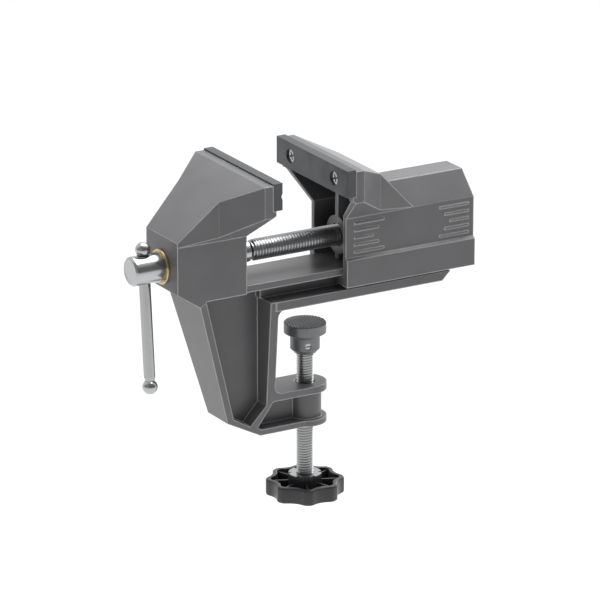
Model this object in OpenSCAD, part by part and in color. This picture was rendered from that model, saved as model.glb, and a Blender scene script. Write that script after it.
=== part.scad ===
// Small clamp-on bench vise: a one-piece frame with jaw, slide rail and C-clamp, a hollow moving jaw,
// a main screw with a tommy bar, and a clamp screw with a star knob and a ridged pad.
// x runs along the jaw travel, away from the fixed jaw. The origin is on the seat that rests on the
// table top, on the axis of the clamp screw.

/* [Jaws] */
// Length of each jaw plate
jaw_width = 63; // [52:1:78]
// Gap between the jaw plates as drawn
opening = 33.2; // [6:0.2:46]
// Height of each jaw plate
plate_h = 12.6; // [10:0.2:16]
// Thickness of each jaw plate
plate_t = 4.6; // [3.8:0.1:5.6]
// Height of the jaw plates' top edge over the main screw's axis
jaw_rise = 40.4; // [38:0.2:46]
// How far a jaw plate stands over the casting behind it
plate_proud = 0.8; // [0:0.1:1.5]
// Distance from the middle to each plate screw
plate_screw_y = 19.4; // [15:0.2:22]
// Distance from the clamp axis back to the fixed plate's face
face_setback = 29.8; // [29:0.1:33]
// How far the lip under each jaw plate stands out of the casting
lip_out = 1.5; // [0.5:0.1:3]
// How far the fixed head hangs over the block under it
overhang = 3.9; // [2.5:0.1:5]
// How far the moving head hangs over the slide under it
move_overhang = 4.3; // [2.5:0.1:5.4]
// Length of the straight sides of a jaw head
head_l = 4.3; // [3.4:0.1:6]
// Height of a jaw head
head_h = 14.9; // [14:0.1:17]
// Distance from a head's face to the crease behind it
crease_d = 20.4; // [18:0.2:22]
// Half width at the crease
crease_hw = 18.5; // [16.5:0.1:20]
// Drop of the roof from the head to the crease
crease_drop = 7.6; // [6:0.1:9]

/* [Fixed block] */
// Length of the fixed block
block_l = 35.3; // [34:0.1:38]
// Width of the fixed block
block_w = 28.6; // [26:0.2:32]
// Top of the front face over the screw axis
block_front_up = 14.4; // [13.4:0.1:16]
// Bottom of the front face under the screw axis
block_front_down = 9.9; // [9:0.1:11]
// Top of both side panels over the screw axis
panel_up = 12.3; // [11.5:0.1:13]

/* [Moving jaw] */
// Length of the moving jaw's body
slide_l = 67.6; // [64:0.2:74]
// Width over its side panels
slide_w = 30.6; // [29:0.2:32]
// Width over the skirt
skirt_w = 33.4; // [32.4:0.2:35]
// Height of the ledge under the screw axis
ledge_down = 6.5; // [5.5:0.1:8]
// Wall of the hollow casting
wall = 2.2; // [1.8:0.1:2.6]
// Distance from the head's face to the foot of the sloping roof
roof_d = 39.8; // [37:0.2:42]
// Width of the flat strip on top
strip_w = 13; // [10:0.2:15]
// Height of that strip over the screw axis
strip_up = 23.5; // [21:0.1:25]
// Radius of the boss that holds the nut
boss_r = 8.9; // [8.4:0.1:9.2]
// Length of that boss
boss_l = 17; // [15.5:0.5:22]
// How far the boss and its rib sit back from the front edge
boss_back = 4.2; // [3:0.1:6]

/* [Rail] */
// Height of the main screw's axis over the seat
screw_z = 26; // [25:0.1:28]
// Distance from the clamp axis to the end of the arm
arm_end = 68.4; // [60:0.2:75]
// Width of the arm's bottom flange
arm_w = 28.4; // [26:0.2:30]
// Thickness of the arm's bottom flange
arm_t = 4.3; // [3.8:0.1:5]
// Width of the rail head
rail_w = 25; // [23:0.2:25.4]
// Height of the rail's top over the seat
rail_up = 14.2; // [13.6:0.1:14.6]
// Thickness of the rail head
rail_t = 3.3; // [2.8:0.1:3.6]
// Width of the neck between the rail head and the flange
neck_w = 10.2; // [8:0.2:10.6]

/* [Clamp frame] */
// Distance from the clamp axis to the wall of the gap
throat = 21.4; // [17:0.2:24]
// Depth of the gap under the seat
gap_depth = 41; // [38:0.5:56]
// Height of the lower arm
lower_arm_h = 19; // [17:0.5:24]
// Thickness of the inner flange
column_t = 4.2; // [3.4:0.1:5]
// Thickness of the web
web_t = 3; // [2:0.2:4]
// Thickness of the lower arm's upper flange
upper_flange_t = 3.5; // [2.8:0.1:4.4]
// Thickness of the lower arm's lower flange
lower_flange_t = 2.8; // [2.4:0.1:3.6]
// Radius of the round end of both flanges
arm_end_r = 9.9; // [9.2:0.1:11]
// Radius of the clamp screw's boss
clamp_boss_r = 7.5; // [6.5:0.1:8.2]

/* [Main screw] */
// Diameter over the thread
screw_d = 9.9; // [9:0.1:10.4]
// Pitch of the thread
screw_pitch = 1.5; // [1:0.25:2]
// How far the screw reaches past the fixed block
screw_reach = 79.2; // [72:0.2:80]
// Diameter of the head
head_d = 13.5; // [12.6:0.1:14.5]
// Length of the head
head_len = 14.65; // [13:0.05:17]
// Diameter of the thrust washer
washer_d = 16.2; // [15.4:0.1:17.4]
// Thickness of the thrust washer
washer_t = 1.5; // [1:0.1:2]
// Diameter of the collar behind the fixed block
collar_d = 11.5; // [11.3:0.1:13]
// Length of that collar
collar_l = 3.4; // [3:0.1:4]

/* [Tommy bar] */
// Diameter of the tommy bar
bar_d = 5.3; // [4.6:0.1:5.8]
// Distance between the middles of its ball ends
bar_span = 63; // [50:1:80]
// Diameter of the ball ends
ball_d = 7; // [6.6:0.1:8]
// Lean of the bar out of the vertical
bar_lean = 5; // [0:1:10]

/* [Clamp screw] */
// Diameter over the thread
clamp_d = 7.9; // [7:0.1:8.2]
// Pitch of the thread
clamp_pitch = 1.25; // [1:0.25:1.5]
// Depth of the pad's face under the seat as drawn
pad_down = 12.6; // [2:0.2:26]
// Diameter of the pad
pad_d = 19.4; // [17.5:0.2:22]
// Height of the pad
pad_h = 14.5; // [13.5:0.1:16]
// Diameter of the pad's neck
neck_d = 13.6; // [12.8:0.1:15]
// Number of ridges on the pad
ridge_count = 16; // [12:1:18]
// Distance from the pad's face to the rim of the knob
knob_drop = 75.4; // [72:0.2:86]
// Diameter of the knob
knob_d = 36; // [32:0.5:40]
// Height of the knob's rim
knob_h = 7.6; // [6.4:0.1:9]
// Number of lobes on the knob
lobe_count = 8; // [6:1:9]

/* [Fits] */
// Radial clearance of the two screws and the tommy bar in their bores
run_fit = 0.06; // [0.02:0.01:0.1]
// End float of the main screw
end_float = 0.15; // [0.1:0.05:0.3]
// Clearance of the moving jaw round the rail
rail_fit = 0.5; // [0.4:0.05:0.7]

/* [Hidden] */
$fn = 64;
cut = 1;                                    // extra length of a cutting tool past a face

paint = "#77797a";
dark_steel = "#46474a";
bright_steel = "#c9cbcd";
gold = "#cfb37a";
black = "#26262a";

// Heights over the seat
jaw_top = screw_z + jaw_rise;
plate_bot = jaw_top - plate_h;
head_top = jaw_top - plate_proud;
head_bot = head_top - head_h;
panel_top = screw_z + panel_up;
crease_top = head_top - crease_drop;
ledge_z = screw_z - ledge_down;
strip_z = screw_z + strip_up;
rail_under = rail_up - rail_t;
lip_gap = 0.8;                              // under the rail head
lip_t = 4.3;
lip_top = rail_under - lip_gap;
skirt_bot = lip_top - lip_t;

// Places along x
jaw_reach = 60;                             // longer than either jaw
fixed_face = -face_setback;
fixed_seat = fixed_face - plate_t;
block_rear = fixed_seat - overhang;
block_front = block_rear - block_l;
move_face = fixed_face + opening;
move_seat = move_face + plate_t;
slide_front = move_seat + move_overhang;
slide_rear = slide_front + slide_l;
boss_front = slide_front + boss_back;
strip_set = 1;                              // lean of the rear face over the side panels
gap_wall = -throat;
column_x = gap_wall - column_t;
web_front = column_x - 0.4;                 // of the web above the column
arm_bevel = 4.2;

head_hw = jaw_width / 2;
block_hw = block_w / 2;
slide_hw = slide_w / 2;
skirt_hw = skirt_w / 2;
arm_hw = arm_w / 2;
rail_hw = rail_w / 2;
web_hw = web_t / 2;
screw_r = screw_d / 2;
clamp_r = clamp_d / 2;

// Side panel lip under the fixed block
lip_in = 2;
lip_up = 1.7;
block_lip = rail_under;
panel_bot = block_lip + lip_up;

// Clamp frame
gap_floor = -gap_depth;
arm_under = gap_floor - lower_arm_h;
spine_t = 3.1;
spine_run = 16.5;                           // x run of the slanted outer flange
spine_back = 11.55;                         // from the block's front face
heel_run = 17.4;
heel_up = 9;
spine_top = [block_front + spine_back, rail_under - 2.5];
spine_bot = [spine_top[0] + spine_run, arm_under + heel_up];
heel = [spine_bot[0] + heel_run, arm_under];
gap_fillet = 3.7;
frame_draft = (block_hw - arm_end_r) / (block_lip - gap_floor);

// Jaw plates and their screws
plate_edge = 0.5;
plate_mid = jaw_top - plate_h / 2;
plate_screw_z = plate_mid - 0.1;
groove_w = 3.2;                             // V groove along the fixed plate
groove_t = 0.6;
plate_screw_r = 2;
plate_screw_head_r = 3.3;
plate_screw_sink = 0.9;
plate_screw_cone = 1.4;
plate_screw_l = 9.4;

// Nut, collar and pin
nut_r = 6.9;
nut_l = 13.5;
nut_back = 1.5;
pin_r = 1;
pin_x = block_rear + end_float + collar_l / 2;

// Main screw
washer_front = block_front - washer_t;
head_rear = washer_front - end_float;
head_front = head_rear - head_len;
cross_x = head_front + head_len / 2 - 0.15;
screw_end = block_rear + screw_reach;
ball_seat = sqrt(pow(ball_d / 2, 2) - pow(bar_d / 2 + run_fit, 2));
ball_up = head_d / 2 + ball_seat + 0.1;
ball_flat = ball_d / 2 - 0.6;               // from a ball's middle to its flat on the bar
spigot_r = 1.6;

// Clamp parts
pad_face = -pad_down;
pad_under = pad_face - pad_h;
pad_rim = 4.8;
pad_socket = pad_h - 4.2;
ridge_pitch = pad_d / ridge_count;
ridge_deep = 0.55;
pad_turn = -17.5;
set_screw_r = 1.5;
set_screw_z = pad_under + 4.4;
set_point_r = 1;
groove_deep = 0.95;
knob_rim = pad_face - knob_drop;
knob_turn = 20.5;
hub_r = 7.7;
hub_up = 2.6;
insert_t = 2.2;
insert_r = 7.5;

// ---------------------------------------------------------------- helpers

// Extrudes an outline drawn in x and z across the vise
module side_profile(pts, w) {
  translate([0, w / 2, 0])
    rotate([90, 0, 0])
      linear_extrude(w)
        polygon(pts);
}

// Extrudes an outline drawn in y and z along the vise
module end_profile(pts, x0, x1) {
  translate([x0, 0, 0])
    rotate([90, 0, 90])
      linear_extrude(x1 - x0)
        polygon(pts);
}

// Points of an outline that is the same on both sides of the middle, from its right half
function both_sides(pts) =
  concat(pts, [for (i = [len(pts) - 1:-1:0]) [-pts[i][0], pts[i][1]]]);

module along_x(x, r, l) {
  translate([x, 0, screw_z])
    rotate([0, 90, 0])
      cylinder(r = r, h = l);
}

// Outside of a jaw. face is the seat of its plate, and way is 1 where the jaw runs towards +x.
// foot is the distance and the height at which the sloping roof ends, low is the underside and hang
// is how far the head stands out over the body.
module jaw_outside(face, way, body_hw, foot, low, hang) {
  plan = [[head_hw, 0], [head_hw, head_l], [crease_hw, crease_d], [body_hw, foot[0]]];
  side = [[hang, low], [hang, panel_top], [0, head_bot], [0, head_top],
    [head_l, head_top], [crease_d, crease_top], foot, [foot[0], low]];
  ends = [[body_hw, low], [body_hw, panel_top], [head_hw, head_bot], [head_hw, head_top + cut]];
  intersection() {
    linear_extrude(jaw_top)
      polygon([for (p = both_sides(plan)) [face + way * p[1], p[0]]]);
    side_profile([for (p = side) [face + way * p[0], p[1]]], jaw_width);
    end_profile(both_sides(ends), face - jaw_reach, face + jaw_reach);
  }
}

// Hollow inside a jaw, open towards the other jaw under the head and at the bottom
module jaw_hollow(face, way, body_hw, foot, low, t) {
  back = head_l + t / 2;
  front = -lip_out - cut;
  top = head_bot + 1.5;
  plan = [[head_hw - t, front], [head_hw - t, head_l], [crease_hw - t, crease_d],
    [body_hw - t, foot[0] + cut]];
  side = [[front, low], [front, top], [back, top], [back, head_top - t],
    [crease_d, crease_top - 1.3 * t], [foot[0], foot[1] - 1.3 * t], [foot[0], low]];
  ends = [[body_hw - t, low - cut], [body_hw - t, panel_top + t / 3], [head_hw - 1.2 * t, top],
    [head_hw - 1.2 * t, head_top]];
  intersection() {
    linear_extrude(jaw_top)
      polygon([for (p = both_sides(plan)) [face + way * p[1], p[0]]]);
    side_profile([for (p = side) [face + way * p[0], p[1]]], jaw_width);
    end_profile(both_sides(ends), face - jaw_reach, face + jaw_reach);
  }
}

// Lip across a jaw's face under its plate
module plate_lip(face, way) {
  side = [[head_l / 2, head_bot], [0, head_bot], [-lip_out, head_bot + 0.8], [-lip_out, plate_bot],
    [head_l / 2, plate_bot]];
  side_profile([for (p = side) [face + way * p[0], p[1]]], jaw_width);
}

// Jaw plate with bevelled edges and two countersunk holes. seat is its back face.
module jaw_plate(seat, way) {
  difference() {
    hull() {
      for (e = [0, plate_edge])
        translate([seat + (way > 0 ? 0 : -(plate_t - plate_edge + e)), -jaw_width / 2 + plate_edge - e,
          jaw_top - plate_h + plate_edge - e])
          cube([plate_t - plate_edge + e, jaw_width - 2 * (plate_edge - e), plate_h - 2 * (plate_edge - e)]);
    }
    for (y = [-plate_screw_y, plate_screw_y])
      translate([seat, y, plate_screw_z])
        rotate([0, way * 90, 0])
          plate_hole();
  }
}

// Countersunk hole from a plate's back face, along +z
module plate_hole() {
  sink = plate_t - plate_screw_sink;
  translate([0, 0, -cut])
    cylinder(r = plate_screw_r, h = plate_t + 2 * cut);
  translate([0, 0, sink - plate_screw_cone])
    cylinder(r1 = plate_screw_r, r2 = plate_screw_head_r, h = plate_screw_cone);
  translate([0, 0, sink])
    cylinder(r = plate_screw_head_r, h = plate_screw_sink + cut);
}

// Cross-slot countersunk screw, its head towards +z, from the plate's back face
module plate_screw() {
  top = plate_t - plate_screw_sink;
  slot_w = 0.9;
  slot_l = 3.8;
  difference() {
    union() {
      translate([0, 0, top - plate_screw_cone])
        cylinder(r1 = plate_screw_r, r2 = plate_screw_head_r, h = plate_screw_cone);
      translate([0, 0, top - plate_screw_l])
        cylinder(r = plate_screw_r, h = plate_screw_l - plate_screw_cone);
    }
    for (a = [0, 90])
      rotate(a)
        translate([-slot_l / 2, -slot_w / 2, top - 1.1])
          cube([slot_l, slot_w, 1.1 + cut]);
  }
}

module plate_screws(seat, way) {
  for (y = [-plate_screw_y, plate_screw_y])
    translate([seat, y, plate_screw_z])
      rotate([0, way * 90, 0])
        rotate(20)
          plate_screw();
}

// Blind holes in a jaw head for the plate screws
module plate_screw_holes(seat, way) {
  for (y = [-plate_screw_y, plate_screw_y])
    translate([seat, y, plate_screw_z])
      rotate([0, -way * 90, 0])
        translate([0, 0, -cut])
          cylinder(r = plate_screw_r, h = plate_screw_l - plate_t + plate_screw_sink + cut);
}

// ---------------------------------------------------------------- frame

// Outline of the C-clamp seen from the side, without its round end
frame_outline = concat(
  [[spine_top[0], panel_bot + 4], spine_top, spine_bot, heel, [0, arm_under], [0, gap_floor]],
  [for (a = [270:-15:180]) [gap_wall + gap_fillet + gap_fillet * cos(a),
    gap_floor + gap_fillet + gap_fillet * sin(a)]],
  [for (a = [180:-15:90]) [gap_wall + gap_fillet + gap_fillet * cos(a),
    -gap_fillet + gap_fillet * sin(a)]],
  [[gap_wall + gap_fillet, arm_t], [web_front, arm_t], [web_front, rail_under],
    [block_rear, rail_under], [block_rear, panel_bot + 4]]);

// Pocket between the slanted flange, the inner flange and the heel
main_pocket = [[spine_top[0] + spine_t, spine_top[1] + 2], [spine_bot[0] + spine_t, spine_bot[1] + 1.6],
  [heel[0] - 5.4, arm_under + 5.3], [column_x, gap_floor - upper_flange_t - 1.2],
  [column_x, block_lip], [spine_top[0] + spine_t, block_lip]];

// Pocket in the lower arm
arm_pocket = [[column_x + 3.4, gap_floor - upper_flange_t], [heel[0] - 1.4, arm_under + lower_flange_t + 1.4],
  [heel[0] + 0.6, arm_under + lower_flange_t], [2, arm_under + lower_flange_t],
  [2, gap_floor - upper_flange_t]];

module clamp_frame() {
  draft_low = block_hw - (block_lip - arm_under) * frame_draft;
  difference() {
    intersection() {
      side_profile(frame_outline, block_w);
      end_profile(both_sides([[draft_low, arm_under - cut], [draft_low, arm_under], [block_hw, block_lip],
        [block_hw, screw_z]]), block_front, cut);
    }
    for (s = [-1, 1])
      translate([0, s * (web_hw + block_w / 2), 0]) {
        side_profile(main_pocket, block_w);
        side_profile(arm_pocket, block_w);
      }
  }
}

module arm_rail() {
  intersection() {
    union() {
      end_profile(both_sides([[arm_hw, 0], [arm_hw, arm_t], [neck_w / 2, arm_t],
        [neck_w / 2, rail_under]]), gap_wall - 1.5, arm_end);
      end_profile(both_sides([[neck_w / 2, arm_t], [neck_w / 2, rail_under + 0.1]]), column_x - 0.8, arm_end);
      end_profile(both_sides([[rail_hw, rail_under], [rail_hw, rail_up]]), block_rear - 4, arm_end);
    }
    side_profile([[block_rear - 4, 0], [arm_end - arm_bevel, 0], [arm_end, arm_bevel], [arm_end, rail_up],
      [block_rear - 4, rail_up]], arm_w);
  }
}

module frame_casting() {
  shell = 2.6;
  rib_hw = 1.2;
  lip = both_sides([[block_hw - lip_in, block_lip], [block_hw, panel_bot], [block_hw, screw_z]]);
  color(paint)
    difference() {
      union() {
        jaw_outside(fixed_seat, -1, block_hw, [block_l + overhang, screw_z + block_front_up], screw_z,
          overhang);
        plate_lip(fixed_seat, -1);
        intersection() {
          end_profile(lip, block_front, block_rear);
          side_profile([[block_front, screw_z + 1], [block_front, screw_z - block_front_down], spine_top,
            [spine_top[0] + spine_t, block_lip], [block_rear, block_lip], [block_rear, screw_z + 1]], block_w);
        }
        intersection() {
          end_profile(both_sides([[block_hw, block_lip - 4], [block_hw, panel_bot + 2]]), block_front,
            spine_top[0] + spine_t);
          side_profile([[block_front, screw_z - block_front_down], spine_top,
            [spine_top[0] + spine_t, spine_top[1] + 2], [spine_top[0] + spine_t, screw_z],
            [block_front, screw_z]], block_w);
        }
        clamp_frame();
        arm_rail();
        translate([0, 0, arm_under])
          cylinder(r = clamp_boss_r, h = lower_arm_h);
        translate([0, 0, arm_under])
          cylinder(r = arm_end_r, h = lower_flange_t);
        translate([0, 0, gap_floor - upper_flange_t])
          cylinder(r = arm_end_r, h = upper_flange_t);
      }
      for (s = [-1, 1])
        intersection() {
          jaw_hollow(fixed_seat, -1, block_hw, [block_l + overhang - shell, screw_z + block_front_up + 2.2],
            screw_z + screw_r + 4.5, shell);
          translate([block_front, s > 0 ? rib_hw : -jaw_width, 0])
            cube([jaw_reach, jaw_width - rib_hw, jaw_top]);
        }
      along_x(block_front - cut, screw_r + run_fit, block_l + 2 * cut);
      plate_screw_holes(fixed_seat, 1);
      translate([0, 0, arm_under - cut])
        cylinder(r = clamp_r + run_fit, h = lower_arm_h + 2 * cut);
      translate([0, 0, arm_under - 0.01])
        cylinder(r1 = clamp_r + 1.1, r2 = clamp_r + run_fit, h = 1.1);
      translate([0, 0, gap_floor - 1.1])
        cylinder(r1 = clamp_r + run_fit, r2 = clamp_r + 1.1, h = 1.11);
    }
}

module fixed_jaw_plate() {
  groove = [[fixed_face + cut, plate_mid - groove_w], [fixed_face + cut, plate_mid + groove_w],
    [fixed_face, plate_mid + groove_w / 2], [fixed_face - groove_t, plate_mid],
    [fixed_face, plate_mid - groove_w / 2]];
  color(dark_steel)
    difference() {
      jaw_plate(fixed_seat, 1);
      side_profile(groove, jaw_width + 2 * cut);
    }
}

module fixed_plate_screws() {
  color(bright_steel)
    plate_screws(fixed_seat, 1);
}

// ---------------------------------------------------------------- moving jaw

// Raised lines on a side panel: five, the shortest in the middle
module panel_lines(side) {
  pitch = 3.4;
  r = 0.6;
  for (i = [-2:2], rear = [0, 1]) {
    l = 10 + 2.8 * abs(i);
    x = rear ? slide_rear - 2.8 - l : slide_front + 4.4;
    translate([x, side * (slide_hw - 0.1), screw_z + 2.7 + i * pitch])
      rotate([0, 90, 0])
        cylinder(r = r, h = l);
  }
}

module moving_jaw_casting() {
  in_hw = slide_hw - wall;
  skirt_in = rail_hw + rail_fit;
  lip_hw = neck_w / 2 + rail_fit;
  foot = [slide_front + slide_l - move_seat, panel_top];
  low = rail_up + rail_fit - 0.1;
  color(paint)
    difference() {
      union() {
        // head, flare and sloping roof
        jaw_outside(move_seat, 1, slide_hw, [roof_d, panel_top], screw_z, move_overhang);
        plate_lip(move_seat, 1);
        // body with the faceted top
        intersection() {
          end_profile(both_sides([[slide_hw, ledge_z - 1], [slide_hw, panel_top], [strip_w / 2, strip_z]]),
            move_seat + crease_d - 4, slide_rear);
          side_profile([[slide_front, 0], [slide_rear, 0], [slide_rear, panel_top],
            [slide_rear - strip_set, strip_z], [slide_front, strip_z]], jaw_width);
        }
        end_profile(both_sides([[slide_hw, ledge_z - 1], [slide_hw, panel_top]]), slide_front, slide_rear);
        // skirt round the rail
        end_profile(both_sides([[skirt_hw, skirt_bot], [skirt_hw, ledge_z - 0.9], [slide_hw, ledge_z]]),
          slide_front, slide_rear);
        panel_lines(1);
        panel_lines(-1);
      }
      // hollow under the head and the roof, parted by the middle rib
      difference() {
        union() {
          jaw_hollow(move_seat, 1, slide_hw, [roof_d, panel_top], low, wall);
          end_profile(both_sides([[in_hw, low], [in_hw, panel_top + wall / 3],
            [strip_w / 2 - wall / 3, strip_z - wall]]), move_seat + crease_d - 2, slide_rear - wall - 0.4);
          end_profile(both_sides([[in_hw, low], [in_hw, panel_top + wall / 3]]), slide_front - cut,
            slide_rear - wall - 0.4);
        }
        translate([boss_front, -wall / 2, low - cut])
          cube([slide_l, wall, jaw_top]);
        along_x(boss_front, boss_r, boss_l);
      }
      // channel for the rail, open underneath between the lips
      end_profile(both_sides([[skirt_in, lip_top], [skirt_in, low + 0.01]]), slide_front - cut,
        slide_rear + cut);
      end_profile(both_sides([[lip_hw, skirt_bot - cut], [lip_hw, low]]), slide_front - cut,
        slide_rear + cut);
      // nut and screw
      along_x(boss_front + nut_back, nut_r, nut_l);
      along_x(boss_front - cut, screw_r + 0.4, boss_l + 2 * cut);
      along_x(boss_front + boss_l, screw_r + 0.8, slide_l - boss_back - boss_l - wall - 0.4);
      plate_screw_holes(move_seat, -1);
    }
}

module moving_jaw_plate() {
  color(dark_steel)
    jaw_plate(move_seat, -1);
}

module moving_plate_screws() {
  color(bright_steel)
    plate_screws(move_seat, -1);
}

module screw_nut() {
  color(bright_steel)
    difference() {
      along_x(boss_front + nut_back, nut_r, nut_l);
      along_x(boss_front + nut_back - cut, screw_r + run_fit, nut_l + 2 * cut);
    }
}

// ---------------------------------------------------------------- main screw

// Turns a shape drawn for an upright bar into the bar's lean, about the main screw's axis
module on_bar() {
  translate([cross_x, 0, screw_z])
    rotate([-bar_lean, 0, 0])
      children();
}

module lead_screw() {
  bevel = 0.9;
  root_r = screw_r - 0.65 * screw_pitch;
  color(bright_steel)
    difference() {
      translate([0, 0, screw_z])
        rotate([0, 90, 0])
          rotate_extrude()
            polygon([[0, head_front], [head_d / 2 - bevel, head_front], [head_d / 2, head_front + bevel],
              [head_d / 2, head_rear], [screw_r, head_rear], [screw_r, screw_end - bevel],
              [root_r, screw_end], [0, screw_end]]);
      on_bar()
        translate([0, 0, -head_d])
          cylinder(r = bar_d / 2 + run_fit, h = 2 * head_d);
      translate([pin_x, 0, screw_z - head_d])
        cylinder(r = pin_r, h = 2 * head_d);
    }
}

module thrust_washer() {
  edge = 0.45;
  color(gold)
    translate([washer_front, 0, screw_z])
      rotate([0, 90, 0])
        rotate_extrude()
          polygon([[screw_r + run_fit, 0], [washer_d / 2 - edge, 0], [washer_d / 2, edge],
            [washer_d / 2, washer_t], [screw_r + run_fit, washer_t]]);
}

module retaining_collar() {
  color(bright_steel)
    difference() {
      along_x(block_rear + end_float, collar_d / 2, collar_l);
      along_x(block_rear, screw_r, collar_l + 2 * cut);
      translate([pin_x, 0, screw_z - head_d])
        cylinder(r = pin_r, h = 2 * head_d);
    }
}

module collar_pin() {
  l = collar_d - 0.6;
  color(bright_steel)
    translate([pin_x, 0, screw_z - l / 2])
      cylinder(r = pin_r, h = l);
}

module tommy_bar() {
  color(bright_steel)
    on_bar() {
      translate([0, 0, ball_up - bar_span + ball_flat])
        cylinder(r = bar_d / 2, h = bar_span - 2 * ball_flat);
      translate([0, 0, ball_up - bar_span])
        cylinder(r = spigot_r, h = bar_span);
    }
}

// Ball end that is pressed on the bar's spigot. side is 1 for the upper one.
module bar_knob(side) {
  on_bar()
    translate([0, 0, ball_up - (side > 0 ? 0 : bar_span)])
      difference() {
        sphere(d = ball_d);
        translate([0, 0, side > 0 ? -ball_d : ball_flat])
          cylinder(r = ball_d, h = ball_d - ball_flat);
        translate([0, 0, side > 0 ? -ball_d : 0])
          cylinder(r = spigot_r, h = ball_d);
      }
}

module tommy_bar_upper_knob() {
  color(bright_steel)
    bar_knob(1);
}

module tommy_bar_lower_knob() {
  color(bright_steel)
    bar_knob(-1);
}

// ---------------------------------------------------------------- clamp

module clamp_screw() {
  top = pad_under + pad_socket - 0.2;
  bottom = knob_rim - knob_h + 0.6;
  groove_r = clamp_r - groove_deep;
  half = set_point_r + 0.3;
  color(bright_steel)
    rotate_extrude()
      polygon([[0, bottom], [clamp_r - 0.7, bottom], [clamp_r, bottom + 0.7], [clamp_r, set_screw_z - half],
        [groove_r, set_screw_z - half], [groove_r, set_screw_z + half], [clamp_r, set_screw_z + half],
        [clamp_r, top - 0.7], [clamp_r - 0.7, top], [0, top]]);
}

module clamp_pad() {
  r = pad_d / 2;
  neck_r = neck_d / 2;
  rim_low = pad_face - pad_rim;
  color(dark_steel)
    rotate(pad_turn)
      difference() {
        rotate_extrude()
          polygon([[0, pad_face], [r - 0.4, pad_face], [r, pad_face - 0.4], [r, rim_low],
            [neck_r + 0.2, rim_low - 1.7], [neck_r, rim_low - 2], [neck_r, pad_under + 2],
            [neck_r - 1.8, pad_under], [0, pad_under]]);
        translate([0, 0, pad_under - cut])
          cylinder(r = clamp_r + run_fit, h = pad_socket + cut);
        for (i = [0:ridge_count])
          translate([(i - ridge_count / 2) * ridge_pitch, 0, pad_face])
            rotate([90, 0, 0])
              linear_extrude(pad_d + 2, center = true)
                polygon([[0, -ridge_deep], [ridge_pitch * 0.4, 0.01], [-ridge_pitch * 0.4, 0.01]]);
        translate([0, 0, set_screw_z])
          rotate([90, 0, 0])
            cylinder(r = set_screw_r, h = pad_d);
      }
}

module pad_set_screw() {
  tip = clamp_r - groove_deep + 0.15;
  body_in = clamp_r + 0.3;
  body_out = neck_d / 2 - 0.5;
  color(bright_steel)
    rotate(pad_turn)
      translate([0, 0, set_screw_z])
        rotate([90, 0, 0])
          difference() {
            union() {
              translate([0, 0, tip])
                cylinder(r = set_point_r, h = body_in - tip);
              translate([0, 0, body_in])
                cylinder(r = set_screw_r, h = body_out - body_in);
            }
            translate([-set_screw_r - cut, -0.3, body_out - 0.8])
              cube([2 * (set_screw_r + cut), 0.6, cut]);
          }
}

// Outline of the star knob: lobes with shallow scallops between them
module knob_outline(r, deep) {
  scallop_r = r * 0.62;
  pitch = 360 / lobe_count;
  difference() {
    circle(r = r);
    for (i = [0:lobe_count - 1])
      rotate(knob_turn + (i + 0.5) * pitch)
        translate([r - deep + scallop_r, 0])
          circle(r = scallop_r);
  }
}

module hand_knob() {
  r = knob_d / 2;
  rim_t = 2.2;
  floor_t = 2;
  scallop = 2.1;
  color(black)
    difference() {
      union() {
        difference() {
          translate([0, 0, knob_rim - knob_h])
            linear_extrude(knob_h)
              knob_outline(r, scallop);
          translate([0, 0, knob_rim - knob_h + floor_t])
            linear_extrude(knob_h)
              knob_outline(r - rim_t, scallop);
        }
        translate([0, 0, knob_rim - knob_h])
          cylinder(r = hub_r, h = knob_h + hub_up);
        for (i = [0:lobe_count - 1])
          rotate(knob_turn + i * 360 / lobe_count)
            translate([0, -0.5, knob_rim - knob_h + 1])
              cube([r - rim_t + 0.4, 1, knob_h - 1.8]);
      }
      translate([0, 0, knob_rim + hub_up - insert_t])
        cylinder(r = insert_r, h = insert_t + cut);
      translate([0, 0, knob_rim - knob_h - cut])
        cylinder(r = clamp_r, h = knob_h + hub_up + 2 * cut);
    }
}

module knob_insert() {
  notch = 1.3;
  color(bright_steel)
    translate([0, 0, knob_rim + hub_up - insert_t])
      difference() {
        cylinder(r = insert_r, h = insert_t);
        translate([0, 0, -cut])
          cylinder(r = clamp_r, h = insert_t + 2 * cut);
        for (i = [0:5])
          rotate(knob_turn + 15 + i * 60)
            translate([insert_r - 1.2, -notch / 2, insert_t - 0.8])
              cube([2, notch, 1]);
      }
}

frame_casting();
fixed_jaw_plate();
fixed_plate_screws();
moving_jaw_casting();
moving_jaw_plate();
moving_plate_screws();
screw_nut();
lead_screw();
thrust_washer();
retaining_collar();
collar_pin();
tommy_bar();
tommy_bar_upper_knob();
tommy_bar_lower_knob();
clamp_screw();
clamp_pad();
pad_set_screw();
hand_knob();
knob_insert();
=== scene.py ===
import bpy, bmesh, math
from mathutils import Vector, Matrix


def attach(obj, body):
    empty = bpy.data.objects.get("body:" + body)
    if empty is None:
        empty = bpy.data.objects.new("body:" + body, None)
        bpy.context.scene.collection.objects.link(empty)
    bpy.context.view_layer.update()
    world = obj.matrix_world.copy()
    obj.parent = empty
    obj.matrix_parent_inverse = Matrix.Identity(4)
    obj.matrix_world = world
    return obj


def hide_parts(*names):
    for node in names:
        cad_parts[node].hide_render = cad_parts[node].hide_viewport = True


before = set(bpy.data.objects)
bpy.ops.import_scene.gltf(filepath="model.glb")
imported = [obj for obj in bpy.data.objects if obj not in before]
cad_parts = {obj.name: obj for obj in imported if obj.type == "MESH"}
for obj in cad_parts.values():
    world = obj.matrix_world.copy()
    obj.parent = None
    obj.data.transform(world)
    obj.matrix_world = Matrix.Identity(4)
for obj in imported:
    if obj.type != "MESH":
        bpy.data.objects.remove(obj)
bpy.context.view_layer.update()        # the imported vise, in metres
mm = 0.001
print("frame loaded:", len(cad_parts), "nodes")

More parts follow.
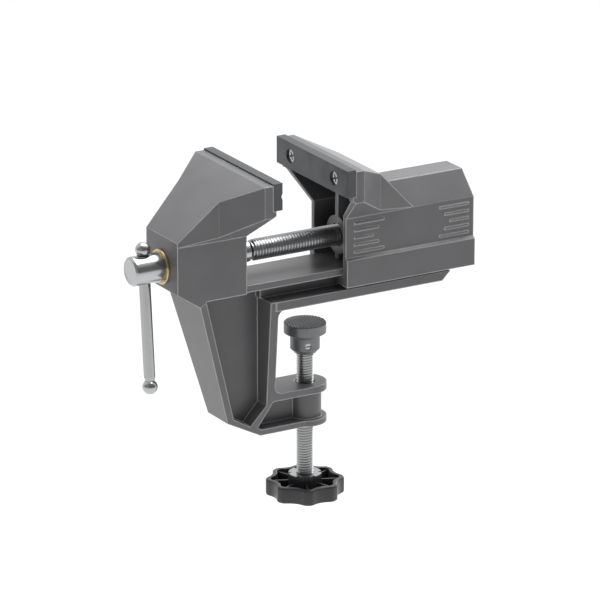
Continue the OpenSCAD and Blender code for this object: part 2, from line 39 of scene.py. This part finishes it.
# colours and shader nodes
def linearColor(hexCode):
    # sRGB hex to the linear values that shaders take
    channels = [int(hexCode[i:i + 2], 16) / 255 for i in (1, 3, 5)]
    linear = [c / 12.92 if c <= 0.04045 else ((c + 0.055) / 1.055) ** 2.4 for c in channels]
    return tuple(linear + [1.0])


def addNode(tree, kind, settings=None, links=None):
    # settings are attributes, sockets or a ramp's two stops; links are input -> (node, output name)
    node = tree.nodes.new("ShaderNode" + kind)
    for key, value in (settings or {}).items():
        if key == "stops":
            for element, (place, tone) in zip(node.color_ramp.elements, value):
                element.position = place
                element.color = tone if isinstance(tone, tuple) else (tone, tone, tone, 1)
        elif isinstance(key, str) and hasattr(node, key) and key not in node.inputs:
            setattr(node, key, value)
        else:
            node.inputs[key].default_value = value
    for key, (source, output) in (links or {}).items():
        tree.links.new(source.outputs[output], node.inputs[key])
    return node


def newMaterial(name, look):
    # a named material whose constants go straight on the shader's own sockets
    material = bpy.data.materials.new(name)
    material.use_nodes = True
    tree = material.node_tree
    shader = tree.nodes["Principled BSDF"]
    shader.inputs["Base Color"].default_value = linearColor(look["color"])
    for socket in ("Metallic", "Roughness", "IOR"):
        if socket in look:
            shader.inputs[socket].default_value = look[socket]
    return material, tree, shader


def scaled(color, factor):
    return tuple([min(1, c * factor) for c in color[:3]] + [1])


# paint
castPaint = {
    "color": "#68686a",      # slate grey satin enamel
    "edgeHighlightColor": "#dededf",  # painted highlight: near-white lines along the rounded edges stand in for the light that the edges catch
    "Metallic": 0.0,
    "Roughness": 0.34,
    "grainMm": 0.5,          # orange peel of a sprayed coat
    "mottleMm": 14.0,        # slow drift in thickness
    "drift": (0.93, 1.06),   # how far the grey drifts with it
    "roughDrift": (-0.05, 0.06),
    "peel": 0.05,
    "peelMm": 0.05,
    "edgeMm": 0.9,           # how far the painted edge highlight reaches in from the corners
    "edgeHighlightShare": 0.95,       # how strongly the painted highlight lightens the corners
    "edgeTurn": (0.87, 0.985),  # cosines between which the painted highlight fades out
}


def makeCastPaint():
    # sprayed satin enamel on a die casting: even grey, fine orange peel, soft wide highlights, and a painted
    # highlight lightening every rounded edge
    material, tree, shader = newMaterial("satinEnamelOnCasting", castPaint)
    place = addNode(tree, "TexCoord")
    peel = addNode(tree, "TexNoise", {"Scale": 1 / (castPaint["grainMm"] * mm), "Detail": 3.0},
                   {"Vector": (place, "Object")})
    mottle = addNode(tree, "TexNoise", {"Scale": 1 / (castPaint["mottleMm"] * mm), "Detail": 4.0},
                     {"Vector": (place, "Object")})
    base = linearColor(castPaint["color"])
    darker, lighter = [scaled(base, factor) for factor in castPaint["drift"]]
    drift = addNode(tree, "ValToRGB", {"stops": [(0.3, darker), (0.7, lighter)]}, {"Fac": (mottle, "Fac")})
    # corners turn the rounded normal away from the flat one, and that difference marks where the edge
    # highlight is painted into the colour
    corner = addNode(tree, "Bevel", {"samples": 6, "Radius": castPaint["edgeMm"] * mm})
    flat = addNode(tree, "NewGeometry")
    agree = addNode(tree, "VectorMath", {"operation": "DOT_PRODUCT"},
                    {0: (corner, "Normal"), 1: (flat, "Normal")})
    highlitTurn, plainTurn = castPaint["edgeTurn"]
    paintedEdgeHighlight = addNode(tree, "ValToRGB", {"stops": [(highlitTurn, castPaint["edgeHighlightShare"]), (plainTurn, 0.0)]},
                   {"Fac": (agree, "Value")})
    mix = addNode(tree, "Mix", {"data_type": "RGBA", 7: linearColor(castPaint["edgeHighlightColor"])},
                  {0: (paintedEdgeHighlight, "Color"), 6: (drift, "Color")})
    tree.links.new(mix.outputs[2], shader.inputs["Base Color"])
    smoother, rougher = [castPaint["Roughness"] + change for change in castPaint["roughDrift"]]
    rough = addNode(tree, "ValToRGB", {"stops": [(0.2, smoother), (0.8, rougher)]}, {"Fac": (mottle, "Fac")})
    tree.links.new(rough.outputs["Color"], shader.inputs["Roughness"])
    bump = addNode(tree, "Bump", {"Strength": castPaint["peel"], "Distance": castPaint["peelMm"] * mm},
                   {"Height": (peel, "Fac"), "Normal": (corner, "Normal")})
    tree.links.new(bump.outputs["Normal"], shader.inputs["Normal"])
    return material


# metals
plateSteel = {
    "color": "#58595c",      # hardened and blackened
    "Metallic": 0.75,
    "Roughness": 0.42,
    "lineMm": 0.25,          # grinding lines, drawn a little coarse so that they show
    "grind": 0.08,
}

padSteel = {
    "color": "#808183",      # phosphated steel, duller and drier than the plates
    "Metallic": 0.7,
    "Roughness": 0.45,
    "lineMm": 0.3,
    "grind": 0.05,
}

brightSteel = {
    "color": "#b9babb",      # zinc plated and turned
    "Metallic": 1.0,
    "Roughness": 0.2,
    "lineMm": 0.12,          # tool marks round the axis
    "grind": 0.04,
}

barSteel = {
    "color": "#b0b1b2",      # drawn bar left bright but duller than the turned pieces
    "Metallic": 1.0,
    "Roughness": 0.22,
    "lineMm": 0.12,          # drawing lines along the bar
    "grind": 0.04,
}

threadSteel = {
    "color": "#b4b5b6",      # rolled thread, a little greyer between the crests
    "Metallic": 1.0,
    "Roughness": 0.3,
    "lineMm": 0.3,
    "grind": 0.05,
}

goldPlate = {
    "color": "#cdb88e",      # yellow passivated zinc
    "Metallic": 1.0,
    "Roughness": 0.22,
    "lineMm": 0.2,
    "grind": 0.04,
}

metalWork = {
    "stretch": 0.04,         # the lines run 25 times as long as they are apart
    "smudgeMm": 6.0,         # handling marks
    "smudge": (0.85, 1.2),   # how they change the roughness
    "tone": (0.9, 1.08),     # how the lines change the colour
    "deepMm": 0.03,
}


def makeWorkedMetal(name, look, axis):
    # ground or turned metal: fine lines along one direction stretch the highlights a little
    material, tree, shader = newMaterial(name, look)
    place = addNode(tree, "TexCoord")
    stretch = [1 / (look["lineMm"] * mm)] * 3
    stretch[axis] *= metalWork["stretch"]
    lines = addNode(tree, "Mapping", {"Scale": stretch}, {"Vector": (place, "Object")})
    grain = addNode(tree, "TexNoise", {"Scale": 1.0, "Detail": 2.0}, {"Vector": (lines, "Vector")})
    smudge = addNode(tree, "TexNoise", {"Scale": 1 / (metalWork["smudgeMm"] * mm), "Detail": 3.0},
                     {"Vector": (place, "Object")})
    smoother, rougher = [look["Roughness"] * factor for factor in metalWork["smudge"]]
    rough = addNode(tree, "ValToRGB", {"stops": [(0.25, smoother), (0.75, rougher)]},
                    {"Fac": (smudge, "Fac")})
    tree.links.new(rough.outputs["Color"], shader.inputs["Roughness"])
    darker, lighter = [scaled(linearColor(look["color"]), factor) for factor in metalWork["tone"]]
    tone = addNode(tree, "ValToRGB", {"stops": [(0.2, darker), (0.8, lighter)]}, {"Fac": (grain, "Fac")})
    tree.links.new(tone.outputs["Color"], shader.inputs["Base Color"])
    bump = addNode(tree, "Bump", {"Strength": look["grind"], "Distance": metalWork["deepMm"] * mm},
                   {"Height": (grain, "Fac")})
    tree.links.new(bump.outputs["Normal"], shader.inputs["Normal"])
    return material


# plastic
knobPlastic = {
    "color": "#303033",      # black moulded nylon with glass fibre
    "Roughness": 0.3,
    "roughDrift": (-0.06, 0.08),
    "IOR": 1.52,
    "grainMm": 0.35,
    "grain": 0.12,
    "deepMm": 0.04,
}


def makeKnobPlastic():
    # moulded black nylon: faint sparkle of fibres in a smooth skin, broad soft highlights
    material, tree, shader = newMaterial("mouldedBlackNylon", knobPlastic)
    place = addNode(tree, "TexCoord")
    grain = addNode(tree, "TexNoise", {"Scale": 1 / (knobPlastic["grainMm"] * mm), "Detail": 4.0},
                    {"Vector": (place, "Object")})
    smoother, rougher = [knobPlastic["Roughness"] + change for change in knobPlastic["roughDrift"]]
    rough = addNode(tree, "ValToRGB", {"stops": [(0.3, smoother), (0.7, rougher)]}, {"Fac": (grain, "Fac")})
    tree.links.new(rough.outputs["Color"], shader.inputs["Roughness"])
    bump = addNode(tree, "Bump", {"Strength": knobPlastic["grain"], "Distance": knobPlastic["deepMm"] * mm},
                   {"Height": (grain, "Fac")})
    tree.links.new(bump.outputs["Normal"], shader.inputs["Normal"])
    return material


paintMaterial = makeCastPaint()
plateMaterial = makeWorkedMetal("blackenedGroundSteel", plateSteel, 1)
padMaterial = makeWorkedMetal("phosphatedSteel", padSteel, 2)
turnedMaterial = makeWorkedMetal("zincPlatedTurnedSteel", brightSteel, 1)
barMaterial = makeWorkedMetal("brightDrawnBar", barSteel, 2)
threadMaterial = makeWorkedMetal("rolledThreadSteel", threadSteel, 0)
goldMaterial = makeWorkedMetal("yellowPassivatedSteel", goldPlate, 1)
knobMaterial = makeKnobPlastic()
print("materials made")


# meshes; lengths in mm, angles in degrees
meshCare = {"merge": 0.002, "threadMerge": 0.003, "flatAngle": 0.6, "smoothAngle": 30, "headAngle": 32,
            "turnedAngle": 35, "flatWeight": 80}


def finishPiece(name, mesh, material, body, node):
    mesh.materials.clear()
    mesh.materials.append(material)
    piece = bpy.data.objects.new(name, mesh)
    bpy.context.scene.collection.objects.link(piece)
    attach(piece, body)
    if node:
        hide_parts(node)
    return piece


def shadeByAngle(bm, degrees):
    for face in bm.faces:
        face.smooth = True
    for edge in bm.edges:
        if len(edge.link_faces) == 2:
            edge.smooth = edge.calc_face_angle(0) < math.radians(degrees)


def roundedCopy(node, look):
    # copy of a CAD node with its sharp edges rounded
    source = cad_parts[node]
    bm = bmesh.new()
    bm.from_mesh(source.data)
    bmesh.ops.remove_doubles(bm, verts=bm.verts, dist=meshCare["merge"] * mm)
    flat = math.radians(meshCare["flatAngle"])
    bmesh.ops.dissolve_limit(bm, angle_limit=flat, verts=bm.verts, edges=bm.edges)
    sharp = [e for e in bm.edges if len(e.link_faces) == 2
             and abs(e.calc_face_angle_signed(0)) > math.radians(look["minAngle"])
             and e.calc_length() > look["minEdge"] * mm]
    bmesh.ops.bevel(bm, geom=sharp, offset=look["round"] * mm, offset_type="OFFSET",
                    segments=look["steps"], profile=0.5, affect="EDGES", clamp_overlap=True)
    shadeByAngle(bm, meshCare["smoothAngle"])
    mesh = bpy.data.meshes.new(node + "Rounded")
    bm.to_mesh(mesh)
    bm.free()
    return mesh


def weightNormals(piece):
    modifier = piece.modifiers.new("flatFaces", "WEIGHTED_NORMAL")
    modifier.keep_sharp = True
    modifier.weight = meshCare["flatWeight"]


def ringMesh(rings, closed=False):
    # skins a stack of rings of points; a ring of one point closes the end like a fan
    bm = bmesh.new()
    rows = [[bm.verts.new(point) for point in ring] for ring in rings]
    pairs = list(zip(rows, rows[1:])) + ([(rows[-1], rows[0])] if closed else [])
    for low, high in pairs:
        count = max(len(low), len(high))
        for i in range(count):
            j = (i + 1) % count
            corners = [low[i % len(low)], low[j % len(low)], high[j % len(high)], high[i % len(high)]]
            unique = list(dict.fromkeys(corners))
            if len(unique) > 2:
                bm.faces.new(unique)
    bmesh.ops.recalc_face_normals(bm, faces=bm.faces)
    return bm


def roundRing(radius, height, steps):
    # points of a circle about +z, or one point where the radius is nought; lengths in mm
    if radius < 1e-6:
        return [(0, 0, height * mm)]
    turns = [2 * math.pi * i / steps for i in range(steps)]
    return [(radius * math.cos(a) * mm, radius * math.sin(a) * mm, height * mm) for a in turns]


def softOutline(points, radii, steps=4):
    # rounds the corners of an open outline; a radius of nought keeps the corner
    out = []
    for i, point in enumerate(points):
        if not radii[i] or i in (0, len(points) - 1):
            out.append(tuple(point))
            continue
        corner, before, after = Vector(point), Vector(points[i - 1]), Vector(points[i + 1])
        start = corner + (before - corner).normalized() * radii[i]
        end = corner + (after - corner).normalized() * radii[i]
        for k in range(steps + 1):
            t = k / steps
            out.append(tuple(start.lerp(corner, t).lerp(corner.lerp(end, t), t)))
    return out


def lathe(outline, radii, steps=96, closed=False):
    # turns an outline of (radius, height) about +z, its corners softened
    return ringMesh([roundRing(r, z, steps) for r, z in softOutline(outline, radii)], closed)


def threadedRod(look, low, high, steps=56):
    # helical V thread about +z: the rows climb one pitch a turn and run out to the root at both ends
    shape = [(0.0, 1.0), (0.12, 1.0), (0.28, 0.5), (0.44, 0.0), (0.68, 0.0), (0.84, 0.5)]
    pitch, radius, depth = look["pitch"], look["radius"], look["depth"]
    count = (int((high - low) / pitch) + 3) * len(shape) + 1
    bm = bmesh.new()
    grid = []
    for k in range(count):
        turn, part = divmod(k, len(shape))
        share, lift = shape[part]
        row = []
        for i in range(steps):
            angle = 2 * math.pi * i / steps
            height = low + (turn - 1 + share + i / steps) * pitch
            fadeIn, fadeOut = (height - low) / look["runOutLow"], (high - height) / look["runOutHigh"]
            fade = max(0.0, min(1.0, fadeIn, fadeOut))
            r = radius - depth * (1 - lift * fade)
            height = min(max(height, low), high)
            row.append(bm.verts.new((r * math.cos(angle) * mm, r * math.sin(angle) * mm, height * mm)))
        grid.append(row)
    for k in range(count - 1):
        for i in range(steps - 1):
            bm.faces.new((grid[k][i], grid[k][i + 1], grid[k + 1][i + 1], grid[k + 1][i]))
        if k + 1 + len(shape) < count:
            bm.faces.new((grid[k][-1], grid[k + len(shape)][0], grid[k + 1 + len(shape)][0], grid[k + 1][-1]))
    bmesh.ops.remove_doubles(bm, verts=bm.verts, dist=meshCare["threadMerge"] * mm)
    bmesh.ops.dissolve_degenerate(bm, dist=meshCare["merge"] * mm, edges=bm.edges)
    bmesh.ops.holes_fill(bm, edges=[e for e in bm.edges if e.is_boundary], sides=0)
    bmesh.ops.recalc_face_normals(bm, faces=bm.faces)
    return bm


def joinMeshes(parts, name):
    # joins several bmesh shells into one mesh
    whole = bmesh.new()
    for part in parts:
        temporary = bpy.data.meshes.new("part")
        part.to_mesh(temporary)
        part.free()
        whole.from_mesh(temporary)
        bpy.data.meshes.remove(temporary)
    mesh = bpy.data.meshes.new(name)
    whole.to_mesh(mesh)
    whole.free()
    return mesh


def placed(bm, matrix):
    bmesh.ops.transform(bm, matrix=matrix, verts=bm.verts)
    bmesh.ops.recalc_face_normals(bm, faces=bm.faces)
    return bm


def cutMesh(mesh, cutter):
    # takes the cutter bmesh away from a mesh and returns what is left
    cutterMesh = bpy.data.meshes.new("cutter")
    cutter.to_mesh(cutterMesh)
    cutter.free()
    body = bpy.data.objects.new("cutBody", mesh)
    tool = bpy.data.objects.new("cutTool", cutterMesh)
    for item in (body, tool):
        bpy.context.scene.collection.objects.link(item)
    modifier = body.modifiers.new("cut", "BOOLEAN")
    modifier.operation = "DIFFERENCE"
    modifier.solver = "EXACT"
    modifier.object = tool
    graph = bpy.context.evaluated_depsgraph_get()
    result = bpy.data.meshes.new_from_object(body.evaluated_get(graph))
    for item in (body, tool):
        bpy.data.objects.remove(item)
    return result


def shadeMesh(mesh, degrees):
    bm = bmesh.new()
    bm.from_mesh(mesh)
    shadeByAngle(bm, degrees)
    bm.to_mesh(mesh)
    bm.free()
    return mesh


def meshOf(bm, name):
    shadeByAngle(bm, meshCare["turnedAngle"])
    mesh = bpy.data.meshes.new(name)
    bm.to_mesh(mesh)
    bm.free()
    return mesh


# castings and the small pieces kept from the CAD
castingLook = {"round": 0.75, "steps": 3, "minAngle": 18, "minEdge": 0.9}
plateLook = {"round": 0.28, "steps": 2, "minAngle": 20, "minEdge": 0.3}
smallLook = {"round": 0.12, "steps": 2, "minAngle": 25, "minEdge": 0.1}

roundedNodes = {
    "frame_casting": ("frame", "cast_paint", paintMaterial, castingLook),
    "moving_jaw_casting": ("moving_jaw", "cast_paint", paintMaterial, castingLook),
    "fixed_jaw_plate": ("frame", "plate_steel", plateMaterial, plateLook),
    "moving_jaw_plate": ("moving_jaw", "plate_steel", plateMaterial, plateLook),
    "fixed_plate_screws": ("frame", "bright_steel", turnedMaterial, smallLook),
    "moving_plate_screws": ("moving_jaw", "bright_steel", turnedMaterial, smallLook),
    "clamp_pad": ("pad", "pad_steel", padMaterial, smallLook),
    "pad_set_screw": ("pad", "bright_steel", turnedMaterial, smallLook),
    "knob_insert": ("clamp_drive", "bright_steel", turnedMaterial, smallLook),
    "screw_nut": ("moving_jaw", "bright_steel", turnedMaterial, smallLook),
    "collar_pin": ("spindle", "bright_steel", turnedMaterial, smallLook),
}
for node, (body, slotName, material, look) in roundedNodes.items():
    mesh = roundedCopy(node, look)
    piece = finishPiece(node.replace("_", "-") + "-rounded", mesh, material, body, node)
    weightNormals(piece)
print("rounded pieces made")

# main screw
mainScrew = {
    "axisUp": 26.0,
    "headFront": -89.9, "headRear": -75.25, "headRadius": 6.75, "faceStep": 0.9,
    "ringIn": 2.2, "ringOut": 2.0, "ringDeep": 0.12,
    "crossX": -82.725, "crossRadius": 2.71, "crossEdge": 0.3,
    "washerFront": -75.1, "washerRear": -73.6, "washerRadius": 8.1,
    "collarFront": -38.15, "collarLength": 3.4, "collarRadius": 5.75,
    "plainTo": -30.2, "threadFrom": -28.8, "end": 40.9, "radius": 4.95, "pitch": 1.5, "depth": 0.86,
    "runOutLow": 1.1, "runOutHigh": 1.6, "lean": 5.0,
}
alongX = Matrix.Translation((0, 0, mainScrew["axisUp"] * mm)) @ Matrix.Rotation(math.radians(90), 4, "Y")
acrossHead = (Matrix.Translation((mainScrew["crossX"] * mm, 0, mainScrew["axisUp"] * mm))
              @ Matrix.Rotation(math.radians(-mainScrew["lean"]), 4, "X"))


def makeScrewHead(look):
    # turned head with a chamfered rim and a faint turned step on its face, and the hole for the bar
    r, front, rear = look["headRadius"], look["headFront"], look["headRear"]
    deep = look["ringDeep"]
    outline = [(0, front + deep), (r - look["ringIn"], front + deep), (r - look["ringOut"], front),
               (r - look["faceStep"], front),
               (r, front + look["faceStep"]), (r, rear), (look["radius"], rear), (look["radius"], rear + 0.4),
               (look["radius"], look["plainTo"]), (look["radius"] - look["depth"], look["plainTo"] + 0.3),
               (0, look["threadFrom"] + 0.5)]
    body = lathe(outline, [0, 0.1, 0.1, 0.25, 0.25, 0.3, 0, 0, 0.3, 0, 0])
    mesh = meshOf(placed(body, alongX), "screwHead")
    hole, edge = look["crossRadius"], look["crossEdge"]
    top = math.sqrt(r * r - hole * hole)
    wide, far = hole + 3, 12
    upper = [(hole, top - 0.5), (hole + edge, top + 0.2), (wide, top + 0.6), (wide, far), (0, far)]
    lower = [(radius, -height) for radius, height in reversed(upper)]
    cutter = lathe(lower + upper, [0] * 10, steps=48)
    return shadeMesh(cutMesh(mesh, placed(cutter, acrossHead)), meshCare["headAngle"])


head = finishPiece("screw-head", makeScrewHead(mainScrew), turnedMaterial, "spindle",
                   "lead_screw")
weightNormals(head)
thread = placed(threadedRod(mainScrew, mainScrew["threadFrom"], mainScrew["end"]), alongX)
finishPiece("screw-thread", meshOf(thread, "screwThread"), threadMaterial, "spindle", None)

rim, bore = mainScrew["washerRadius"], mainScrew["radius"] + 0.06
near, far = mainScrew["washerFront"], mainScrew["washerRear"]
washerOutline = [(bore, near), (rim - 1.5, near), (rim - 1.3, near + 0.15), (rim - 1.1, near),
                 (rim - 0.3, near), (rim, near + 0.3), (rim, far), (bore, far)]
washer = placed(lathe(washerOutline, [0, 0.05, 0.05, 0.05, 0.15, 0.15, 0, 0], closed=True), alongX)
finishPiece("thrust-washer-turned", meshOf(washer, "thrustWasher"), goldMaterial, "frame",
            "thrust_washer")

start, length, outer = mainScrew["collarFront"], mainScrew["collarLength"], mainScrew["collarRadius"]
inner = mainScrew["radius"] + 0.01
collarOutline = [(inner, start), (outer - 0.1, start), (outer, start + 0.3), (outer, start + length - 0.3),
                 (outer - 0.5, start + length), (inner, start + length)]
collar = placed(lathe(collarOutline, [0, 0.1, 0.2, 0.3, 0.2, 0], closed=True), alongX)
finishPiece("retaining-collar-turned", meshOf(collar, "retainingCollar"), turnedMaterial, "spindle",
            "retaining_collar")
print("main screw made")

# tommy bar
tommyBar = {"radius": 2.65, "ball": 3.5, "up": 9.065, "span": 63.0, "neck": 0.35, "neckLong": 0.9,
            "taper": 0.7, "intoBall": 2.9, "ballSweep": 148, "ballSteps": 24}


def makeBar(look):
    # drawn bar that necks in a little just inside each ball end
    low, high = look["up"] - look["span"] + look["intoBall"], look["up"] - look["intoBall"]
    r, neckLong = look["radius"], look["neckLong"]
    outline = [(0, low), (r - look["neck"], low), (r - look["neck"], low + neckLong),
               (r, low + neckLong + look["taper"]),
               (r, high - 0.3), (r - look["neck"], high), (0, high)]
    return lathe(outline, [0, 0, 0.3, 0.4, 0, 0, 0], steps=48)


def makeBall(look, way):
    # ball with a flat where it sits on the bar
    points = []
    for k in range(look["ballSteps"] + 1):
        angle = math.radians(-90 + k * look["ballSweep"] / look["ballSteps"])
        points.append((look["ball"] * math.cos(angle), look["ball"] * math.sin(angle)))
    points[0] = (0, -look["ball"])
    points.append((0, points[-1][1]))
    bm = lathe(points, [0] * len(points), steps=48)
    turn = Matrix.Rotation(math.radians(180 if way > 0 else 0), 4, "X")
    height = look["up"] - (0 if way > 0 else look["span"])
    return placed(bm, Matrix.Translation((0, 0, height * mm)) @ turn)


finishPiece("tommy-bar-drawn", meshOf(placed(makeBar(tommyBar), acrossHead), "tommyBar"), barMaterial,
            "tommy", "tommy_bar")
for node, way in (("tommy_bar_upper_knob", 1), ("tommy_bar_lower_knob", -1)):
    ball = placed(makeBall(tommyBar, way), acrossHead)
    finishPiece(node.replace("_", "-") + "-turned", meshOf(ball, node + "Ball"), turnedMaterial, "tommy",
                node)
print("tommy bar made")

# clamp screw and knob
clampScrew = {"radius": 3.95, "pitch": 1.25, "depth": 0.72, "runOutLow": 0.9, "runOutHigh": 0.9,
              "low": -94.4, "high": -17.0}
rod = threadedRod(clampScrew, clampScrew["low"], clampScrew["high"], steps=48)
finishPiece("clamp-screw-threaded", meshOf(rod, "clampThread"), threadMaterial, "clamp_drive",
            "clamp_screw")

knob = {"radius": 18.0, "deep": 2.1, "scallop": 10.85, "lobes": 8, "turn": 20.5, "low": -95.6, "rim": -88.0,
        "wall": 2.4, "floor": -93.6, "hub": 7.7, "hubTop": -85.4, "steps": 288, "edge": 0.9, "insert": 7.5,
        "insertSeat": -87.6, "bore": 3.97, "blend": 3.0, "ribHigh": 4.9, "ribThick": 1.0}


def knobRadius(look, degrees):
    # radius of the lobed outline before smoothing
    pitch = 360 / look["lobes"]
    off = (degrees - look["turn"] + pitch) % pitch - pitch / 2
    far = look["radius"] - look["deep"] + look["scallop"]
    under = look["scallop"] ** 2 - (far * math.sin(math.radians(off))) ** 2
    if under <= 0:
        return look["radius"]
    return min(look["radius"], far * math.cos(math.radians(off)) - math.sqrt(under))


def makeKnob(look):
    # lobed rim round a deep recess, with a hub in the middle and thin ribs under the lobes
    steps, blend = look["steps"], look["blend"]
    radii = []
    for i in range(steps):
        middle = i * 360 / steps
        around = [knobRadius(look, middle + blend * (k / 6 - 1)) for k in range(13)]
        radii.append(sum(around) / len(around))

    def lobedRing(inset, height):
        points = []
        for i, radius in enumerate(radii):
            angle = 2 * math.pi * i / steps
            r = radius - inset
            points.append((r * math.cos(angle) * mm, r * math.sin(angle) * mm, height * mm))
        return points

    low, rimTop, edge, wall = look["low"], look["rim"], look["edge"], look["wall"]
    floor, hub, hubTop = look["floor"], look["hub"], look["hubTop"]
    bore = look["bore"]
    rings = [roundRing(bore, low + 0.6, steps), roundRing(bore + 0.53, low, steps)]
    rings.append(lobedRing(edge + 0.8, low))
    quarter = [math.radians(22.5 * k) for k in range(5)]
    rings += [lobedRing(edge * (1 - math.sin(a)), low + edge * (1 - math.cos(a))) for a in quarter]
    rings += [lobedRing(edge * (1 - math.cos(a)), rimTop - edge * (1 - math.sin(a))) for a in quarter]
    recess = [(wall - 0.35, rimTop), (wall - 0.1, rimTop - 0.1), (wall, rimTop - 0.35),
              (wall + 0.3, floor + 0.9), (wall + 0.5, floor + 0.3), (wall + 1.1, floor)]
    rings += [lobedRing(inset, height) for inset, height in recess]
    middle = [(hub + 1.1, floor), (hub + 0.35, floor + 0.8), (hub, hubTop - 0.4), (hub - 0.1, hubTop - 0.1),
              (look["insert"] + 0.02, hubTop), (look["insert"], look["insertSeat"]),
              (bore, look["insertSeat"])]
    rings += [roundRing(r, z, steps) for r, z in softOutline(middle, [0, 0.3, 0.1, 0, 0, 0, 0])]
    body = ringMesh(rings, closed=True)
    parts = [body]
    for i in range(look["lobes"]):
        rib = bmesh.new()
        bmesh.ops.create_cube(rib, size=1)
        ribLength, ribHeight = look["radius"] - wall - hub + 0.8, look["ribHigh"]
        bmesh.ops.scale(rib, vec=(ribLength * mm, look["ribThick"] * mm, ribHeight * mm), verts=rib.verts)
        bmesh.ops.bevel(rib, geom=list(rib.edges), offset=0.2 * mm, segments=2, profile=0.5, affect="EDGES")
        spot = Matrix.Translation(((hub - 0.3 + ribLength / 2) * mm, 0, (floor + ribHeight / 2 - 0.2) * mm))
        angle = math.radians(look["turn"] + i * 360 / look["lobes"])
        parts.append(placed(rib, Matrix.Rotation(angle, 4, "Z") @ spot))
    return shadeMesh(joinMeshes(parts, "starKnob"), meshCare["smoothAngle"])


finishPiece("hand-knob-moulded", makeKnob(knob), knobMaterial, "clamp_drive", "hand_knob")
print("clamp screw and knob made")

# camera, floor and light
view = {"azimuth": -30.22, "elevation": 18.8, "distance": 2.5, "scale": 2.212,
        "target": (-2.6 * mm, 0.0, -2.0 * mm), "imageSize": 600}


def placeCamera():
    azimuth, elevation = math.radians(view["azimuth"]), math.radians(view["elevation"])
    back = Vector((math.sin(azimuth) * math.cos(elevation), -math.cos(azimuth) * math.cos(elevation),
                   math.sin(elevation)))
    data = bpy.data.cameras.new("camera")
    data.sensor_width = 36
    data.lens = view["scale"] / mm * view["distance"] * data.sensor_width / view["imageSize"]
    data.clip_end = 50
    camera = bpy.data.objects.new("camera", data)
    camera.location = Vector(view["target"]) + back * view["distance"]
    camera.rotation_euler = back.to_track_quat("Z", "Y").to_euler()
    bpy.context.scene.collection.objects.link(camera)
    bpy.context.scene.camera = camera


placeCamera()

# the room is white above and behind the vise and dim in front of it, so tops shine and sides stay deep
studio = {"toward": (0.44, 0.75, 0.5), "dim": 0.18, "bright": 0.9, "dimAt": 0.42, "brightAt": 0.72,
          "floorTone": "#9e9e9e", "floorGlow": 0.62, "floorDown": -0.32, "floorHalf": 6.0}


def addSoftLight(name, place, size, power):
    data = bpy.data.lights.new(name, "AREA")
    data.shape = "RECTANGLE"
    data.size, data.size_y = size
    data.energy = power
    light = bpy.data.objects.new(name, data)
    light.location = place
    light.rotation_euler = Vector(place).to_track_quat("Z", "Y").to_euler()
    bpy.context.scene.collection.objects.link(light)


def addFloor():
    # plain pale sweep far wider than the view
    mesh = bpy.data.meshes.new("floor")
    half = studio["floorHalf"]
    corners = [(-half, -half, 0), (half, -half, 0), (half, half, 0), (-half, half, 0)]
    mesh.from_pydata(corners, [], [(0, 1, 2, 3)])
    material, tree, shader = newMaterial("matPaleFloor", {"color": studio["floorTone"], "Roughness": 0.9})
    shader.inputs["Emission Color"].default_value = (1, 1, 1, 1)
    shader.inputs["Emission Strength"].default_value = studio["floorGlow"]
    mesh.materials.append(material)
    floor = bpy.data.objects.new("floor", mesh)
    floor.location.z = studio["floorDown"]
    bpy.context.scene.collection.objects.link(floor)


def makeWorld():
    world = bpy.data.worlds.new("studioWorld")
    bpy.context.scene.world = world
    world.use_nodes = True
    tree = world.node_tree
    place = addNode(tree, "TexCoord")
    along = addNode(tree, "VectorMath", {"operation": "DOT_PRODUCT", 1: studio["toward"]},
                    {0: (place, "Generated")})
    share = addNode(tree, "Math", {"operation": "MULTIPLY_ADD", 1: 0.5, 2: 0.5}, {0: (along, "Value")})
    stops = [(studio["dimAt"], studio["dim"]), (studio["brightAt"], studio["bright"])]
    glow = addNode(tree, "ValToRGB", {"stops": stops}, {"Fac": (share, "Value")})
    glow.color_ramp.interpolation = "EASE"
    tree.links.new(glow.outputs["Color"], tree.nodes["Background"].inputs["Color"])


makeWorld()
addFloor()
# name: place, size in metres, power in watts
softLights = {
    "leftSoft": ((-1.3, -0.35, 0.55), (1.1, 1.0), 0.6),
    "topSoft": ((0.35, 0.2, 1.45), (1.5, 1.1), 29),
    "rearRight": ((1.2, 0.9, 0.5), (0.8, 0.9), 3),
}
for lightName, (lightPlace, lightSize, power) in softLights.items():
    addSoftLight(lightName, lightPlace, lightSize, power)
bpy.context.scene.view_settings.view_transform = "Standard"
print("stage set")
